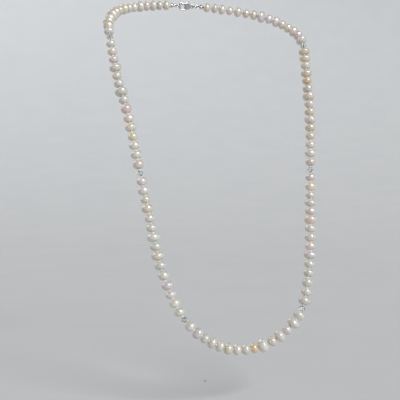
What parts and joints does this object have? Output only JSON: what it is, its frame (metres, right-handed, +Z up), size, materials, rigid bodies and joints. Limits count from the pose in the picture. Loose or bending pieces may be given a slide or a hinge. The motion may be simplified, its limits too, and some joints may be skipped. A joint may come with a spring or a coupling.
{
  "type": "pearl necklace",
  "caption": "Knotted strand of off-round white pearls with small faceted crystal accents and a lobster clasp at the nape.",
  "frame": {"origin": "on the axis of the wearer's neck, level with the lowest part of the shoulders' saddle that the strand lies in", "axes": "-Y towards the front of the wearer, +Z up, +X to the viewer's right"},
  "size_m": [0.1322, 0.1075, 0.2131],
  "materials": {
    "nacre": "gloss",
    "silk": "matte",
    "crystal": "polished",
    "silver": "polished",
    "spring_steel": "satin"
  },
  "bodies": {
    "nape": {"right_pearls_01": "nacre", "left_pearls_01": "nacre", "right_thread_01": "silk", "left_thread_01": "silk", "right_bead_tip": "silver", "left_bead_tip": "silver"},
    "strand_02": {"right_pearls_02": "nacre", "right_thread_02": "silk", "left_pearls_02": "nacre", "left_thread_02": "silk"},
    "strand_03": {"right_pearls_03": "nacre", "right_thread_03": "silk", "left_pearls_03": "nacre", "left_thread_03": "silk"},
    "strand_04": {"right_pearls_04": "nacre", "right_thread_04": "silk", "left_pearls_04": "nacre", "left_thread_04": "silk"},
    "strand_05": {"right_pearls_05": "nacre", "right_thread_05": "silk", "left_pearls_05": "nacre", "left_thread_05": "silk"},
    "strand_06": {"right_pearls_06": "nacre", "right_thread_06": "silk", "left_pearls_06": "nacre", "left_thread_06": "silk"},
    "strand_07": {"right_pearls_07": "nacre", "right_thread_07": "silk", "left_pearls_07": "nacre", "left_thread_07": "silk"},
    "strand_08": {"right_pearls_08": "nacre", "right_thread_08": "silk", "left_pearls_08": "nacre", "left_thread_08": "silk"},
    "strand_09": {"right_pearls_09": "nacre", "right_thread_09": "silk", "left_pearls_09": "nacre", "left_thread_09": "silk"},
    "strand_10": {"right_pearls_10": "nacre", "right_thread_10": "silk", "left_pearls_10": "nacre", "left_thread_10": "silk"},
    "front": {"centre_pearls": "nacre", "centre_thread": "silk"},
    "right_crystal_1": {"right_crystal_1": "crystal"},
    "right_crystal_2": {"right_crystal_2": "crystal"},
    "right_crystal_3": {"right_crystal_3": "crystal"},
    "left_crystal_3": {"left_crystal_3": "crystal"},
    "left_crystal_2": {"left_crystal_2": "crystal"},
    "left_crystal_1": {"left_crystal_1": "crystal"},
    "tail_ring": {"tail_ring": "silver"},
    "clasp": {"clasp_body": "silver", "clasp_rivet": "silver", "clasp_spring": "spring_steel"},
    "catch_ring": {"catch_ring": "silver"},
    "lever": {"clasp_lever": "silver"}
  },
  "joints": [
    {"name": "fold_01", "type": "hinge", "parent": "nape", "child": "strand_02", "pos_m": [0, 0.02769, 0.02665], "axis": [1, 0, 0], "range_deg": [-40, 40]},
    {"name": "fold_02", "type": "hinge", "parent": "strand_02", "child": "strand_03", "pos_m": [0.00021, 0.01139, 0.01863], "axis": [-1, 0.0053, 0.0031], "range_deg": [-24, 24]},
    {"name": "fold_03", "type": "hinge", "parent": "strand_03", "child": "strand_04", "pos_m": [0, -0.00984, 0.00021], "axis": [1, 0, 0], "range_deg": [-30, 30]},
    {"name": "fold_04", "type": "hinge", "parent": "strand_04", "child": "strand_05", "pos_m": [0.00002, -0.01901, -0.02328], "axis": [-1, -0.0014, -0.003], "range_deg": [-25, 25]},
    {"name": "fold_05", "type": "hinge", "parent": "strand_05", "child": "strand_06", "pos_m": [0.00005, -0.03068, -0.04844], "axis": [1, 0.0019, 0.0058], "range_deg": [-20, 20]},
    {"name": "fold_06", "type": "hinge", "parent": "strand_06", "child": "strand_07", "pos_m": [0.00009, -0.03926, -0.07854], "axis": [-0.9999, -0.0034, -0.0126], "range_deg": [-35, 35]},
    {"name": "fold_07", "type": "hinge", "parent": "strand_07", "child": "strand_08", "pos_m": [0.00014, -0.04605, -0.10408], "axis": [0.9998, 0.0056, 0.0201], "range_deg": [-20, 20]},
    {"name": "fold_08", "type": "hinge", "parent": "strand_08", "child": "strand_09", "pos_m": [0.00027, -0.05353, -0.1299], "axis": [-0.9996, -0.0079, -0.0254], "range_deg": [-25, 25]},
    {"name": "fold_09", "type": "hinge", "parent": "strand_09", "child": "strand_10", "pos_m": [0.0006, -0.0632, -0.15823], "axis": [0.9997, 0.0061, 0.0238], "range_deg": [-38, 38]},
    {"name": "fold_10", "type": "hinge", "parent": "strand_10", "child": "front", "pos_m": [0.00047, -0.06516, -0.17425], "axis": [-0.9999, -0.0005, -0.0126], "range_deg": [-40, 40]},
    {"name": "right_crystal_1_spin", "type": "hinge", "parent": "strand_03", "child": "right_crystal_1", "pos_m": [0.06304, -0.00892, 0.00198], "axis": [-0.0104, -0.4629, -0.8864], "continuous": true},
    {"name": "right_crystal_2_spin", "type": "hinge", "parent": "strand_06", "child": "right_crystal_2", "pos_m": [0.05366, -0.03855, -0.07595], "axis": [-0.1247, -0.2609, -0.9573], "continuous": true},
    {"name": "right_crystal_3_spin", "type": "hinge", "parent": "strand_09", "child": "right_crystal_3", "pos_m": [0.03663, -0.06248, -0.15573], "axis": [-0.497, -0.2509, -0.8307], "continuous": true},
    {"name": "left_crystal_3_spin", "type": "hinge", "parent": "strand_09", "child": "left_crystal_3", "pos_m": [-0.03553, -0.06298, -0.15745], "axis": [-0.5473, 0.219, 0.8078], "continuous": true},
    {"name": "left_crystal_2_spin", "type": "hinge", "parent": "strand_06", "child": "left_crystal_2", "pos_m": [-0.05349, -0.03892, -0.07729], "axis": [-0.1242, 0.2588, 0.9579], "continuous": true},
    {"name": "left_crystal_1_spin", "type": "hinge", "parent": "strand_03", "child": "left_crystal_1", "pos_m": [-0.06304, -0.00892, 0.00198], "axis": [-0.0104, 0.4629, 0.8864], "continuous": true},
    {"name": "tail_ring_turn", "type": "hinge", "parent": "nape", "child": "tail_ring", "pos_m": [0.00577, 0.03601, 0.03028], "axis": [1, 0, 0], "range_deg": [-25, 25]},
    {"name": "clasp_turn", "type": "hinge", "parent": "tail_ring", "child": "clasp", "pos_m": [0.00387, 0.03601, 0.03028], "axis": [-1, 0, 0], "range_deg": [-25, 25]},
    {"name": "catch_ring_turn", "type": "hinge", "parent": "clasp", "child": "catch_ring", "pos_m": [-0.00387, 0.03601, 0.03028], "axis": [1, 0, 0], "range_deg": [-15, 15]},
    {"name": "lever_turn", "type": "hinge", "parent": "clasp", "child": "lever", "pos_m": [0.00047, 0.03601, 0.03118], "axis": [0, -1, 0], "range_deg": [0, 16], "stiffness_Nm_per_rad": 0.01, "springref_deg": -8.59}
  ]
}
